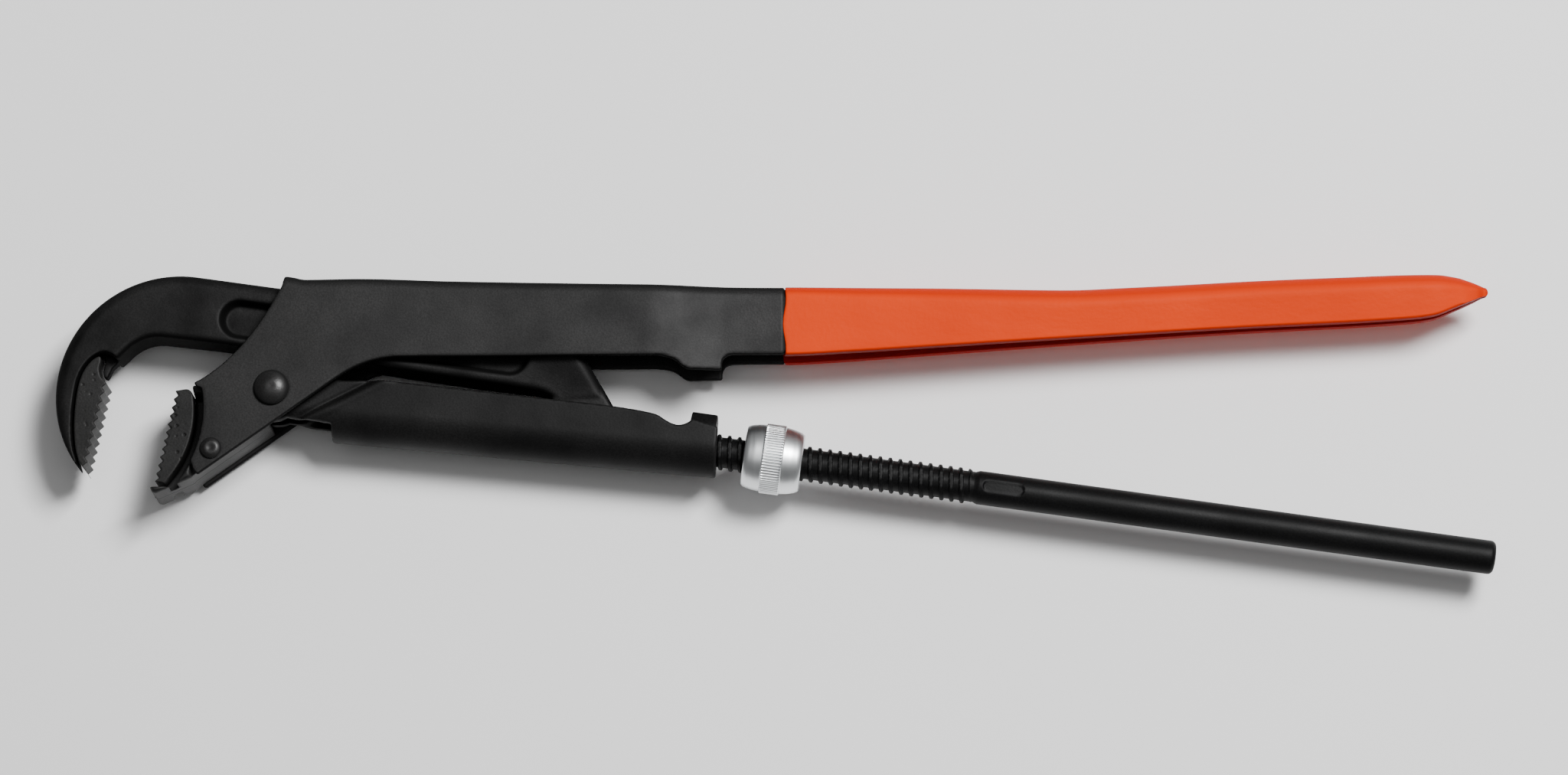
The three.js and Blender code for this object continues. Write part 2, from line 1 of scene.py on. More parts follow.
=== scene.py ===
"""A Swedish-pattern pipe wrench: its looks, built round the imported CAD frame.

Pieces are shaped in millimetres about the centre of the pivot rivet: +X runs from the hook jaw to the
handle ends, +Y from the rod towards the grip, +Z up through the thickness. Pieces on the rod are shaped
in a frame turned by the jaw's slope, so that their X axis runs along the rod.

Forged and pressed pieces are distance fields, negative inside, joined and cut with rounded edges and
then meshed on a fine grid. Turned pieces, the rod and the grip's coat are rings joined in a row.
"""

import json
import math

import bpy
import numpy as np
from mathutils import Matrix, Vector


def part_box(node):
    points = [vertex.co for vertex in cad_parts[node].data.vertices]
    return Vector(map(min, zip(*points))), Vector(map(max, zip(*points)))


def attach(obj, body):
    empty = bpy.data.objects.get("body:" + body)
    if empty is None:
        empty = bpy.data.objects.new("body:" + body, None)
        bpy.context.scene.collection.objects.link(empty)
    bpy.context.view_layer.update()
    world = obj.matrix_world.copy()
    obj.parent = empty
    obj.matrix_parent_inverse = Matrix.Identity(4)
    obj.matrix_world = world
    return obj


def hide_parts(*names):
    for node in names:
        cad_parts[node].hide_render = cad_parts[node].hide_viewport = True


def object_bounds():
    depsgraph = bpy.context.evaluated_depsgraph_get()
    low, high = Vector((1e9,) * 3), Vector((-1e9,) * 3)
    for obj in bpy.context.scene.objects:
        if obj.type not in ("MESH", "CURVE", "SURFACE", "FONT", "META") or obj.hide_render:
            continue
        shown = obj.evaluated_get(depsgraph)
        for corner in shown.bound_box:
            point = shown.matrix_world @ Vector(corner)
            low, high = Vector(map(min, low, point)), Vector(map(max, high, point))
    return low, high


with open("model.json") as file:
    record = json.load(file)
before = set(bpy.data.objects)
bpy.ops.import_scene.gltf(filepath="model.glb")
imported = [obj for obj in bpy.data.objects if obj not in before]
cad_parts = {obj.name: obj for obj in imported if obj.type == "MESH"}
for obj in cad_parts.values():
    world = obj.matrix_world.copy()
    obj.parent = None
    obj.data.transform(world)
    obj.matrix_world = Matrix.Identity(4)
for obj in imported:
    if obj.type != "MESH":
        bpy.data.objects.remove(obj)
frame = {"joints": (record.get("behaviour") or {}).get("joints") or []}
cad_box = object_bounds()

# ---------------------------------------------------------------- driving dimensions, in millimetres
SHEET = 2.4  # thickness of the pressed steel
WEB = 1.9  # thickness of the upper handle's back
GRIP_START = 151
COAT = 0.5
COAT_PROUD = 0.15
CLEARANCE = 0.3
STEEL_INSET = COAT + CLEARANCE - COAT_PROUD

PIVOT_R = 4.5
CHEEK_HALF = 13
BUSH_R = 7
BUSH_HALF = 5.2
SEAT_RIVET_AT = (-17.5, -18.1)
SEAT_RIVET_R = 2.2

SEAT_CENTRE = (-55, -6.3)
INSERT_BACK_R = 31.8
CHEEK_ARC_R = 34.9
INSERT_HALF = 8.4
HEEL_HALF = 11.4  # half the width of the seat block's heel

ROD_LINE = 1.3  # rod axis above the pivot, square to the rod
HOOK_HALF = 8.4
SHANK_LOW = 12.1
SHANK_TOP = 31.3
HOOK_ARC = (-27.8, SHANK_TOP - 36.2)
HOOK_ARC_R = 36.2
BOSS_HALF = 5.2
BARREL_R = 4.8  # the hook's round socket for the rod, and half its length
BARREL_HALF = 9
RECESS_FROM = -13.2  # the hollow with round ends in each side of the hook's shank
RECESS_TO = 67.8
RECESS_MID = 20
RECESS_R = 5.2
RECESS_FLOOR = 4.7
HOOK_INSERT_HALF = 7.4

TROUGH_HALF = 9.2
EAR_HALF = 7.7  # the ears are pinched in, to reach between the cheeks
EAR_NOSE_R = 8.6
LOOP_FROM = 123.4  # the collar round the rod at the channel's end, along the rod
LOOP_TO = 131.2
LOOP_LOW = -6.4  # its lowest and highest points, from the rod's axis
LOOP_HIGH = 10.3

ROD_R = 5
CREST_R = 5.28
ROOT_R = 4.5
FLAT_HALF = 4.75  # half the thickness over the flats along the thread
PITCH = 3
THREAD_FROM = 106
THREAD_TO = 209
ROD_END = 363.8
TENON_R = 3
TENON_FROM = 88
PIN_R = 1.1
PIN_AT = 95

NUT_FROM = 140.3
NUT_TO = 157.6
KNURLS = 72

# ---------------------------------------------------------------- places
MM = 0.001
rivet_low, rivet_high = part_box("pivot_rivet")
PIVOT = (rivet_low + rivet_high) / 2
slide_axis = next(joint["axis"] for joint in frame["joints"] if joint["name"] == "jaw_slide")
JAW_SLOPE = math.atan2(slide_axis[1], -slide_axis[0])
ABOUT_PIVOT = Matrix.Translation(PIVOT) @ Matrix.Scale(MM, 4)
ALONG_ROD = ABOUT_PIVOT @ Matrix.Rotation(-JAW_SLOPE, 4, "Z")


# ---------------------------------------------------------------- outlines and smooth values
def curve(start, pull, end, steps):
    """Points of a quadratic curve from start to end, pulled towards a point."""
    start, pull, end = map(np.array, (start, pull, end))
    shares = np.linspace(0, 1, steps + 1)
    return [tuple((1 - t) ** 2 * start + 2 * t * (1 - t) * pull + t * t * end) for t in shares]


class Outline:
    """A closed outline drawn from a starting point with lines, bends and arcs."""

    def __init__(self, x, y):
        self.points = [(x, y)]

    def line(self, *points):
        self.points += points
        return self

    def bend(self, pull, end, steps=12):
        """A quadratic curve from the last point to end, pulled towards a point."""
        self.points += curve(self.points[-1], pull, end, steps)[1:]
        return self

    def arc(self, centre, radius, start, end, step=0.8):
        """Part of a circle between two angles in degrees, drawn in steps of about that length."""
        count = max(2, int(abs(math.radians(end - start)) * radius / step))
        for angle in np.radians(np.linspace(start, end, count + 1)):
            self.points.append((centre[0] + radius * math.cos(angle), centre[1] + radius * math.sin(angle)))
        return self

    def distance(self, x, y):
        """Signed distance to the outline, negative inside."""
        nearest = np.inf
        inside = False
        for (ax, ay), (bx, by) in zip(self.points, self.points[1:] + self.points[:1]):
            ex, ey = bx - ax, by - ay
            length = ex * ex + ey * ey
            if length < 1e-9:
                continue
            share = np.clip(((x - ax) * ex + (y - ay) * ey) / length, 0, 1)
            nearest = np.minimum(nearest, (x - ax - ex * share) ** 2 + (y - ay - ey * share) ** 2)
            if abs(ey) > 1e-9:
                beside = (ay > y) != (by > y)
                inside = inside ^ (beside & (x < ax + ex * (y - ay) / ey))
        return np.where(inside, -1, 1) * np.sqrt(nearest)


def flowing(*pairs):
    """A value that flows smoothly through (x, value) pairs without overshooting them."""
    xs, values = np.array(pairs, float).T
    rates = np.diff(values) / np.diff(xs)
    product = rates[:-1] * rates[1:]
    middle = np.where(product > 0, 2 * product / (rates[:-1] + rates[1:] + (product <= 0)), 0)
    slopes = np.concatenate(([0], middle, [0]))

    def value(x):
        x = np.clip(x, xs[0], xs[-1])
        i = np.clip(np.searchsorted(xs, x, side="right") - 1, 0, len(xs) - 2)
        width = xs[i + 1] - xs[i]
        t = (x - xs[i]) / width
        straight = values[i] + (values[i + 1] - values[i]) * t * t * (3 - 2 * t)
        return straight + width * t * (1 - t) * (slopes[i] * (1 - t) - slopes[i + 1] * t)

    return value


def eased(share):
    """0 below 0, 1 above 1, and a smooth change between."""
    share = np.clip(share, 0, 1)
    return share * share * (3 - 2 * share)


# ---------------------------------------------------------------- joining and cutting fields
def both(a, b, radius=0.0):
    """What lies in both fields, with the outer edge between them rounded."""
    rounding = np.hypot(np.maximum(a + radius, 0), np.maximum(b + radius, 0))
    return np.minimum(np.maximum(a, b), -radius) + rounding


def without(a, b, radius=0.0):
    """What lies in the first field and not in the second."""
    return both(a, -b, radius)


def either(a, b, radius=0.0):
    """What lies in one field or the other, with a fillet in the corner between them."""
    rounding = np.hypot(np.maximum(radius - a, 0), np.maximum(radius - b, 0))
    return np.maximum(np.minimum(a, b), radius) - rounding


def half_plane(x, y, start, end):
    """Signed distance to a line, negative on its left-hand side seen from start to end."""
    dx, dy = end[0] - start[0], end[1] - start[1]
    return ((x - start[0]) * dy - (y - start[1]) * dx) / math.hypot(dx, dy)


# ---------------------------------------------------------------- meshing
CORNERS = [(i, j, k) for i in (0, 1) for j in (0, 1) for k in (0, 1)]
CELL_EDGES = [
    (a, b)
    for a in range(8)
    for b in range(a + 1, 8)
    if np.abs(np.subtract(CORNERS[a], CORNERS[b])).sum() == 1
]


def spaced(start, end, step):
    """Evenly spaced values from start to end, about a step apart."""
    return np.linspace(start, end, max(2, round(abs(end - start) / step) + 1))


def meshed(field, xs, ys, zs):
    """The surface where a field is zero, as vertices, quads and smooth normals.

    Each grid cell that the surface passes through gets one vertex, at the mean of the places where the
    surface cuts the cell's edges. Each grid edge that it cuts gets a quad between the four cells around it.
    """
    axes = (xs, ys, zs)
    values = field(xs[:, None, None], ys[None, :, None], zs[None, None, :])
    values = np.ascontiguousarray(np.broadcast_to(values, tuple(map(len, axes))))
    inside = values < 0
    cells = tuple(len(axis) - 1 for axis in axes)
    count = sum(
        inside[i : cells[0] + i, j : cells[1] + j, k : cells[2] + k].astype(np.int8) for i, j, k in CORNERS
    )
    crossed = (count > 0) & (count < 8)
    number = np.full(cells, -1)
    number[crossed] = np.arange(crossed.sum())
    cell = np.argwhere(crossed)

    places = np.stack([np.stack([axes[d][cell[:, d] + c[d]] for d in range(3)], 1) for c in CORNERS], 1)
    levels = np.stack([values[tuple((cell + c).T)] for c in CORNERS], 1)
    total = np.zeros((len(cell), 3))
    cuts = np.zeros((len(cell), 1))
    for a, b in CELL_EDGES:
        cut = ((levels[:, a] < 0) != (levels[:, b] < 0))[:, None]
        gap = np.where(cut[:, 0], levels[:, a] - levels[:, b], 1)
        share = (levels[:, a] / gap)[:, None]
        total += np.where(cut, places[:, a] + share * (places[:, b] - places[:, a]), 0)
        cuts += cut
    vertices = total / cuts

    quads = []
    for axis in range(3):
        ahead = np.roll(inside, -1, axis)
        changed = ahead != inside
        changed[tuple(slice(-1, None) if d == axis else slice(None) for d in range(3))] = False
        start = np.argwhere(changed)
        across = [np.eye(3, dtype=int)[(axis + turn) % 3] for turn in (1, 2)]
        around = (0, across[0], across[0] + across[1], across[1])
        quad = np.stack([number[tuple((start - offset).T)] for offset in around], 1)
        outward = inside[tuple(start.T)]
        quads.append(np.where(outward[:, None], quad, quad[:, ::-1]))

    base = tuple(cell.T)
    nearer = [axes[d][cell[:, d]] for d in range(3)]
    farther = [axes[d][cell[:, d] + 1] for d in range(3)]
    within = [(vertices[:, d] - nearer[d]) / (farther[d] - nearer[d]) for d in range(3)]
    normals = np.zeros_like(vertices)
    for axis, slope in enumerate(np.gradient(values, *axes)):
        for offset in CORNERS:
            weight = np.prod([within[d] if offset[d] else 1 - within[d] for d in range(3)], axis=0)
            normals[:, axis] += weight * slope[tuple(base[d] + offset[d] for d in range(3))]
    normals /= np.linalg.norm(normals, axis=1, keepdims=True) + 1e-12
    return vertices, np.concatenate(quads), normals


def field_mesh(name, field, low, high, step, finer_until=None, coarse_step=2.0):
    """Meshes a field from low (x, y) to high (x, y, z), and as far below the middle plane as above it.

    Past finer_until along X, where the piece is hidden, the grid is coarser.
    """
    pad = 2 * step
    xs = spaced(low[0] - pad, finer_until or high[0] + pad, step)
    if finer_until:
        xs = np.concatenate((xs[:-1], spaced(finer_until, high[0] + pad, coarse_step)))
    ys = spaced(low[1] - pad, high[1] + pad, step)
    zs = spaced(-high[2] - pad, high[2] + pad, step)
    vertices, quads, normals = meshed(field, xs, ys, zs)
    mesh = bpy.data.meshes.new(name)
    mesh.from_pydata(vertices, [], quads)
    return mesh, normals


def ring_mesh(name, rings, closed=False):
    """Joins rings of equal length in a row; the row closes on itself, or its two ends are capped."""
    rings = np.array(rings, float)
    rows, around = rings.shape[:2]
    index = np.arange(rows * around).reshape(rows, around)
    after = np.roll(index, -1, 0) if closed else index[1:]
    before = index if closed else index[:-1]
    quads = np.stack([before, np.roll(before, -1, 1), np.roll(after, -1, 1), after], 2).reshape(-1, 4)
    faces = [tuple(quad) for quad in quads]
    if not closed:
        faces += [tuple(index[0][::-1]), tuple(index[-1])]
    mesh = bpy.data.meshes.new(name)
    mesh.from_pydata(rings.reshape(-1, 3), [], faces)
    return mesh


def turned_mesh(name, profile, sides, closed=False, relief=None, upright_at=None):
    """Turns (along, radius) points about the rod's axis, or about an upright axis at a point."""
    angles = np.linspace(0, 2 * math.pi, sides, endpoint=False)
    rings = []
    for along, radius in profile:
        radii = radius - (relief(along, radius, angles) if relief else 0)
        level = np.full(sides, along)
        if upright_at:
            ring = (upright_at[0] + radii * np.cos(angles), upright_at[1] + radii * np.sin(angles), level)
        else:
            ring = (level, ROD_LINE + radii * np.sin(angles), radii * np.cos(angles))
        rings.append(np.stack(ring, 1))
    return ring_mesh(name, rings, closed)


def rounded_profile(points, radius, steps=5):
    """A row of (along, radius) points with every corner between its two ends rounded."""
    done = [points[0]]
    for before, here, after in zip(points, points[1:], points[2:]):
        into = np.subtract(before, here)
        out = np.subtract(after, here)
        reach = min(radius, np.linalg.norm(into) * 0.45, np.linalg.norm(out) * 0.45)
        start = here + into / np.linalg.norm(into) * reach
        end = here + out / np.linalg.norm(out) * reach
        done += curve(start, here, end, steps)
    return done + [points[-1]]


# ---------------------------------------------------------------- materials
SPECKS = 2080  # waves to the metre
GRAIN = 1560
# Near-black colour painted on sides and rounded edges as painted shade, and their roughness.
SIDE_SHADE_BLACK = 0.0015
SIDE_ROUGH = 0.85


def new_material(name):
    """A new material with its nodes, its links and its shader."""
    material = bpy.data.materials.new(name)
    material.use_nodes = True
    nodes = material.node_tree.nodes
    return material, nodes, material.node_tree.links, nodes["Principled BSDF"]


def noise(nodes, links, scale, detail=4.0, stretch=(1, 1, 1)):
    """Noise over the object's own coordinates; scale is in waves to the metre."""
    place = nodes.new("ShaderNodeTexCoord")
    mapping = nodes.new("ShaderNodeMapping")
    mapping.inputs["Scale"].default_value = stretch
    texture = nodes.new("ShaderNodeTexNoise")
    texture.inputs["Scale"].default_value = scale
    texture.inputs["Detail"].default_value = detail
    links.new(place.outputs["Object"], mapping.inputs["Vector"])
    links.new(mapping.outputs["Vector"], texture.inputs["Vector"])
    return texture.outputs["Fac"]


def ramp(nodes, links, factor, stops):
    """A colour ramp; each stop is a place and a colour."""
    node = nodes.new("ShaderNodeValToRGB")
    while len(node.color_ramp.elements) < len(stops):
        node.color_ramp.elements.new(0.5)
    for element, (place, colour) in zip(node.color_ramp.elements, stops):
        element.position = place
        element.color = (*colour, 1)
    links.new(factor, node.inputs["Fac"])
    return node.outputs["Color"]


def grey(value):
    return (value, value, value)


def mixed(nodes, links, factor, first, second, mode="MIX"):
    """Two colours mixed by a factor; each is a fixed value or a socket to link."""
    node = nodes.new("ShaderNodeMix")
    node.data_type = "RGBA"
    node.blend_type = mode
    for socket, value in (("Factor", factor), ("A", first), ("B", second)):
        if isinstance(value, (int, float, tuple)):
            node.inputs[socket].default_value = value
        else:
            links.new(value, node.inputs[socket])
    return node.outputs["Result"]


def bumps(nodes, links, layers):
    """A chain of bump nodes; each layer is a height, a distance in metres and a strength."""
    normal = None
    for height, distance, strength in layers:
        node = nodes.new("ShaderNodeBump")
        node.inputs["Distance"].default_value = distance
        node.inputs["Strength"].default_value = strength
        links.new(height, node.inputs["Height"])
        if normal:
            links.new(normal, node.inputs["Normal"])
        normal = node.outputs["Normal"]
    return normal


def worn_edges(nodes, links, start, end):
    """1 along sharp outer edges and 0 elsewhere."""
    geometry = nodes.new("ShaderNodeNewGeometry")
    return ramp(nodes, links, geometry.outputs["Pointiness"], [(start, grey(0)), (end, grey(1))])


def broad_faces(nodes, links, start=0.72, end=0.96):
    """1 on faces square to the tool's thickness and 0 on its sides and well-rounded edges."""
    geometry = nodes.new("ShaderNodeNewGeometry")
    split = nodes.new("ShaderNodeSeparateXYZ")
    upright = nodes.new("ShaderNodeMath")
    upright.operation = "ABSOLUTE"
    links.new(geometry.outputs["Normal"], split.inputs["Vector"])
    links.new(split.outputs["Z"], upright.inputs[0])
    return ramp(nodes, links, upright.outputs["Value"], [(start, grey(0)), (end, grey(1))])


def black_steel(name, dark, light, rough, grain, dents, sheen, wear=0.35, shade_sides=True):
    """Blackened steel: mottled, finely grained, a little polished along its edges; its sides and well-rounded
    edges can be painted near-black as painted shade, and made rougher.
    """
    material, nodes, links, shader = new_material(name)
    clouds = noise(nodes, links, 55, 6)
    specks = noise(nodes, links, SPECKS, 3)
    colour = ramp(nodes, links, clouds, [(0.32, dark), (0.7, light)])
    dots = ramp(nodes, links, specks, [(0.35, grey(0.3)), (0.65, grey(1.15))])
    speckled = mixed(nodes, links, 0.6, colour, dots, "MULTIPLY")
    edge = worn_edges(nodes, links, 0.52, 0.6)
    edge_part = mixed(nodes, links, wear, grey(0) + (1,), edge)
    bare = tuple(min(1, channel * 3.2) for channel in light) + (1,)
    colour = mixed(nodes, links, edge_part, speckled, bare)
    gloss = ramp(nodes, links, clouds, [(0.3, grey(rough + 0.07)), (0.72, grey(rough - 0.06))])
    # Painted shade: faces turned away from the broad sides get a near-black colour and a higher roughness.
    if shade_sides:
        flats = broad_faces(nodes, links)
        colour = mixed(nodes, links, flats, grey(SIDE_SHADE_BLACK) + (1,), colour)
        gloss = mixed(nodes, links, flats, grey(SIDE_ROUGH) + (1,), gloss)
    links.new(colour, shader.inputs["Base Color"])
    links.new(gloss, shader.inputs["Roughness"])
    fine = noise(nodes, links, GRAIN, 4)
    broad = noise(nodes, links, 120, 3)
    links.new(bumps(nodes, links, [(broad, 0.0006, dents), (fine, 0.0001, grain)]), shader.inputs["Normal"])
    shader.inputs["Specular IOR Level"].default_value = sheen
    return material


def plated_steel():
    """Satin zinc plate with fine turned lines round the axis."""
    material, nodes, links, shader = new_material("satin_zinc")
    turned = noise(nodes, links, 30, 5, (150, 2, 2))
    clouds = noise(nodes, links, 90, 3)
    tint = ramp(nodes, links, clouds, [(0.3, (0.74, 0.76, 0.77)), (0.7, (0.82, 0.84, 0.85))])
    links.new(tint, shader.inputs["Base Color"])
    links.new(ramp(nodes, links, turned, [(0.3, grey(0.33)), (0.7, grey(0.39))]), shader.inputs["Roughness"])
    links.new(bumps(nodes, links, [(turned, 0.00001, 0.3)]), shader.inputs["Normal"])
    shader.inputs["Metallic"].default_value = 1.0
    return material


def grip_coat(name, dark, light):
    """Orange dipped coat: soft gloss, fine orange peel, slight clouding, and painted shade darkening its
    rounded bends.
    """
    material, nodes, links, shader = new_material(name)
    clouds = noise(nodes, links, 28, 4)
    peel = noise(nodes, links, 900, 3)
    waves = noise(nodes, links, 160, 3, (0.5, 1, 1))
    tint = ramp(nodes, links, clouds, [(0.3, dark), (0.72, light)])
    # Painted shade: a darker, redder colour on the coat's rounded bends, where the light falls off.
    painted_bend_shade = tuple(channel * share for channel, share in zip(dark, (0.82, 0.6, 0.3))) + (1,)
    flats = broad_faces(nodes, links, 0.86, 0.995)
    links.new(mixed(nodes, links, flats, painted_bend_shade, tint), shader.inputs["Base Color"])
    links.new(ramp(nodes, links, clouds, [(0.3, grey(0.48)), (0.7, grey(0.42))]), shader.inputs["Roughness"])
    links.new(bumps(nodes, links, [(waves, 0.0006, 0.45), (peel, 0.00014, 0.45)]), shader.inputs["Normal"])
    shader.inputs["Specular IOR Level"].default_value = 0.03
    return material


PRESSED = black_steel(
    "pressed_black", (0.0090, 0.0089, 0.0090), (0.0185, 0.0182, 0.0181), 0.52, 0.36, 0.10, sheen=0.15
)
CHANNEL = black_steel(
    "channel_black", (0.0035, 0.0035, 0.0036), (0.0095, 0.0094, 0.0094), 0.52, 0.34, 0.10, sheen=0.11,
    shade_sides=False,
)
FORGED = black_steel(
    "forged_black", (0.0015, 0.0015, 0.0015), (0.0150, 0.0148, 0.0148), 0.52, 0.45, 0.30, sheen=0.10
)
MACHINED = black_steel(
    "machined_black", (0.0060, 0.0060, 0.0060), (0.0150, 0.0148, 0.0146), 0.48, 0.4, 0.15, sheen=0.16,
    shade_sides=False,
)
HARDENED = black_steel(
    "hardened_black", (0.0080, 0.0080, 0.0078), (0.0180, 0.0177, 0.0173), 0.48, 0.5, 0.25, sheen=0.16,
    wear=0.5, shade_sides=False,
)
RIVET = black_steel(
    "rivet_black", (0.0050, 0.0048, 0.0048), (0.0120, 0.0116, 0.0115), 0.36, 0.25, 0.15, sheen=0.3
)
ROD = black_steel(
    "rod_black", (0.0030, 0.0030, 0.0031), (0.0060, 0.0060, 0.0062), 0.46, 0.3, 0.08, sheen=0.09,
    shade_sides=False,
)
ZINC = plated_steel()
COAT_ORANGE = grip_coat("orange_coat", (0.56, 0.034, 0.0001), (0.63, 0.040, 0.0002))
# Painted shade: the coat's inside is given a much darker red than its outside.
COAT_INSIDE_SHADE = grip_coat("coat_inside_shade", (0.34, 0.004, 0.0001), (0.42, 0.006, 0.0001))


def put(node, body, slot, material, place, mesh, normals=None, smooth_angle=40, inner=None):
    """Places a mesh as the piece that stands for a CAD node; inner is a second material, for its inside."""
    mesh.transform(place)
    mesh.materials.append(material)
    if inner:
        mesh.materials.append(inner)
    mesh.shade_smooth()
    if normals is None:
        mesh.set_sharp_from_angle(angle=math.radians(smooth_angle))
    else:
        turn = np.array(place.to_3x3().normalized())
        mesh.normals_split_custom_set_from_vertices(normals @ turn.T)
    obj = bpy.data.objects.new(node + "_shown", mesh)
    bpy.context.scene.collection.objects.link(obj)
    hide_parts(node)
    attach(obj, body)


# ---------------------------------------------------------------- the upper handle and its coat
# Half width, swell of the sides, back, foot, corner radius and web along the handle.
HANDLE_HALF = flowing(
    (-30, CHEEK_HALF), (10, CHEEK_HALF), (70, 12), (110, 12), (118, 11.3), (126, 9.9), (134, 8.9), (141, 8.6),
    (GRIP_START, 8.6), (200, 7.6), (245, 6.5), (300, 5.5), (345, 5.1), (352, 4.2), (357, 2.7), (360, 1.3),
)
HANDLE_BULGE = flowing((GRIP_START, 0), (220, 0.8), (300, 1.2), (340, 1), (354, 0.2))
HANDLE_TOP = flowing(
    (-30, 33.9), (3, 34.1), (5.5, 33.8), (9.2, 33.1), (16, 33.2), (25, 33.4), (52, 32.8), (107, 32),
    (GRIP_START, 31.6), (191, 31.6), (234, 31.3), (255, 32.2), (291, 34.2), (319, 35.4), (337, 36.1),
    (345, 36.2), (351, 35.5), (355, 34.3), (358.5, 32.9), (360, 32.4),
)
GRIP_FOOT = flowing(
    (GRIP_START, 11), (171, 12), (191, 13.4), (234, 16.4), (283, 19.6), (338, 22.8), (344, 23.7), (350, 26),
    (356, 28.6), (360, 30.1),
)
GRIP_BEND = flowing((GRIP_START, 3.6), (175, 4.4), (240, 5.6), (360, 5.6))
HANDLE_WEB = flowing((340, WEB), (352, 5), (362, 12))
LIP_STEPS = 6  # steps round each corner of the coat's section, and points on each straight stretch
BEND_STEPS = 12
STRETCH_POINTS = 7


def handle_outline():
    """The handle seen from its side: cheek, throat, stop tab, grip and pointed end."""
    top = Outline(-21.4, -25.9).line((19.3, 3.2)).bend((27.7, 9.2), (37.3, 9.5)).line((112, 10.2))
    top.bend((117, 10.2), (119.7, 8.2)).bend((121.5, 6.2), (123.4, 6.2)).line((132.6, 6.2), (132.6, 8.1))
    top.bend((133, 10.8), (136, 10.9))
    top.line(*[(x, float(GRIP_FOOT(x))) for x in np.linspace(GRIP_START, 356, 60)])
    top.line((357.5, 30.2), (357.5, 40), (3.9, 40), (2.6, 31))
    top.bend((-7.5, 10.7), (-21, 2.6)).line((-22.9, 1.6), (-22.1, 0.3))
    upper_angle = math.degrees(math.asin(-SEAT_CENTRE[1] / CHEEK_ARC_R))
    lower_angle = math.degrees(math.asin((-21.6 - SEAT_CENTRE[1]) / CHEEK_ARC_R))
    return top.arc(SEAT_CENTRE, CHEEK_ARC_R, upper_angle, lower_angle).line((-22.6, -24.4))


def upper_handle():
    """A channel open downwards, trimmed to the outline; under the coat it draws in to make room."""
    outline = handle_outline()

    def field(x, y, z):
        inset = np.where(x > GRIP_START, STEEL_INSET, 0)
        top = HANDLE_TOP(x) - inset
        foot = GRIP_FOOT(x)
        rising = np.clip((y - foot) / np.maximum(top - foot, 1), 0, 1)
        half = HANDLE_HALF(x) - inset + HANDLE_BULGE(x) * rising
        outer = both(np.abs(z) - half, y - top, 3.4)
        hollow = both(np.abs(z) - np.maximum(half - SHEET, 0.3), y - top + HANDLE_WEB(x), 1.5)
        shell = without(outer, hollow)
        cut = both(shell, outline.distance(x, y) + inset, 0.45)
        cut = without(cut, np.hypot(x, y) - PIVOT_R - CLEARANCE)
        return without(cut, np.hypot(x - SEAT_RIVET_AT[0], y - SEAT_RIVET_AT[1]) - SEAT_RIVET_R - CLEARANCE)

    return field_mesh("upper_handle", field, (-23, -26), (361, 37, CHEEK_HALF), 0.56, finer_until=153)


def corner(centre, radius, start, end, steps=LIP_STEPS):
    """Points (z, y) round a corner between two angles in degrees."""
    angles = np.radians(np.linspace(start, end, steps + 1))
    return [(centre[0] + radius * math.cos(a), centre[1] + radius * math.sin(a)) for a in angles]


def across_the_middle(corners):
    """The same corners on the other side of the middle plane, in the order that goes on round."""
    return [[(-z, y) for z, y in reversed(arc)] for arc in reversed(corners)]


def chained(corners):
    """Corners joined into one closed line, with the same number of points on each straight stretch."""
    shares = np.linspace(0, 1, STRETCH_POINTS + 2)[1:-1]
    points = []
    for this, following in zip(corners, corners[1:] + corners[:1]):
        (z0, y0), (z1, y1) = this[-1], following[0]
        points += this
        points += [(z0 + (z1 - z0) * t, y0 + (y1 - y0) * t) for t in shares]
    return points


def coat_ring(x, inset, wall, back, shift=0.0, scale=1.0):
    """The coat's U-shaped section at a place along the handle, open downwards.

    The section is drawn in by inset. Its mouth has a slightly wavy edge, as dipping leaves it.
    """
    top = float(HANDLE_TOP(x)) - inset
    foot = float(GRIP_FOOT(x)) + inset
    half = float(HANDLE_HALF(x)) - inset
    shoulder = half + float(HANDLE_BULGE(x))
    wall = min(wall, half * 0.8)
    roof = max(top - back, foot + 0.2)
    bend = min(float(GRIP_BEND(x)), half * 0.93, (top - foot) * 0.5)
    lip = min(0.8, wall * 0.3, (roof - foot) * 0.4)
    inner_bend = min(1.2, (shoulder - wall) * 0.5, (roof - foot) * 0.4)
    right = [
        corner((half - lip, foot + lip), lip, -90, 0),
        corner((shoulder - bend, top - bend), bend, 0, 90, BEND_STEPS),
    ]
    left_inner = [
        corner((wall - half - lip, foot + lip), lip, -90, 0),
        corner((wall + inner_bend - shoulder, roof - inner_bend), inner_bend, 180, 90),
    ]
    section = chained(right + across_the_middle(right) + left_inner + across_the_middle(left_inner))
    middle = (top + foot) / 2
    wave = 0.45 * max(0, 1 - (x - GRIP_START) / 5)
    return [
        (x + shift + wave * math.sin(y * 0.42 + z * 0.3), middle + (y - middle) * scale, z * scale)
        for z, y in section
    ]


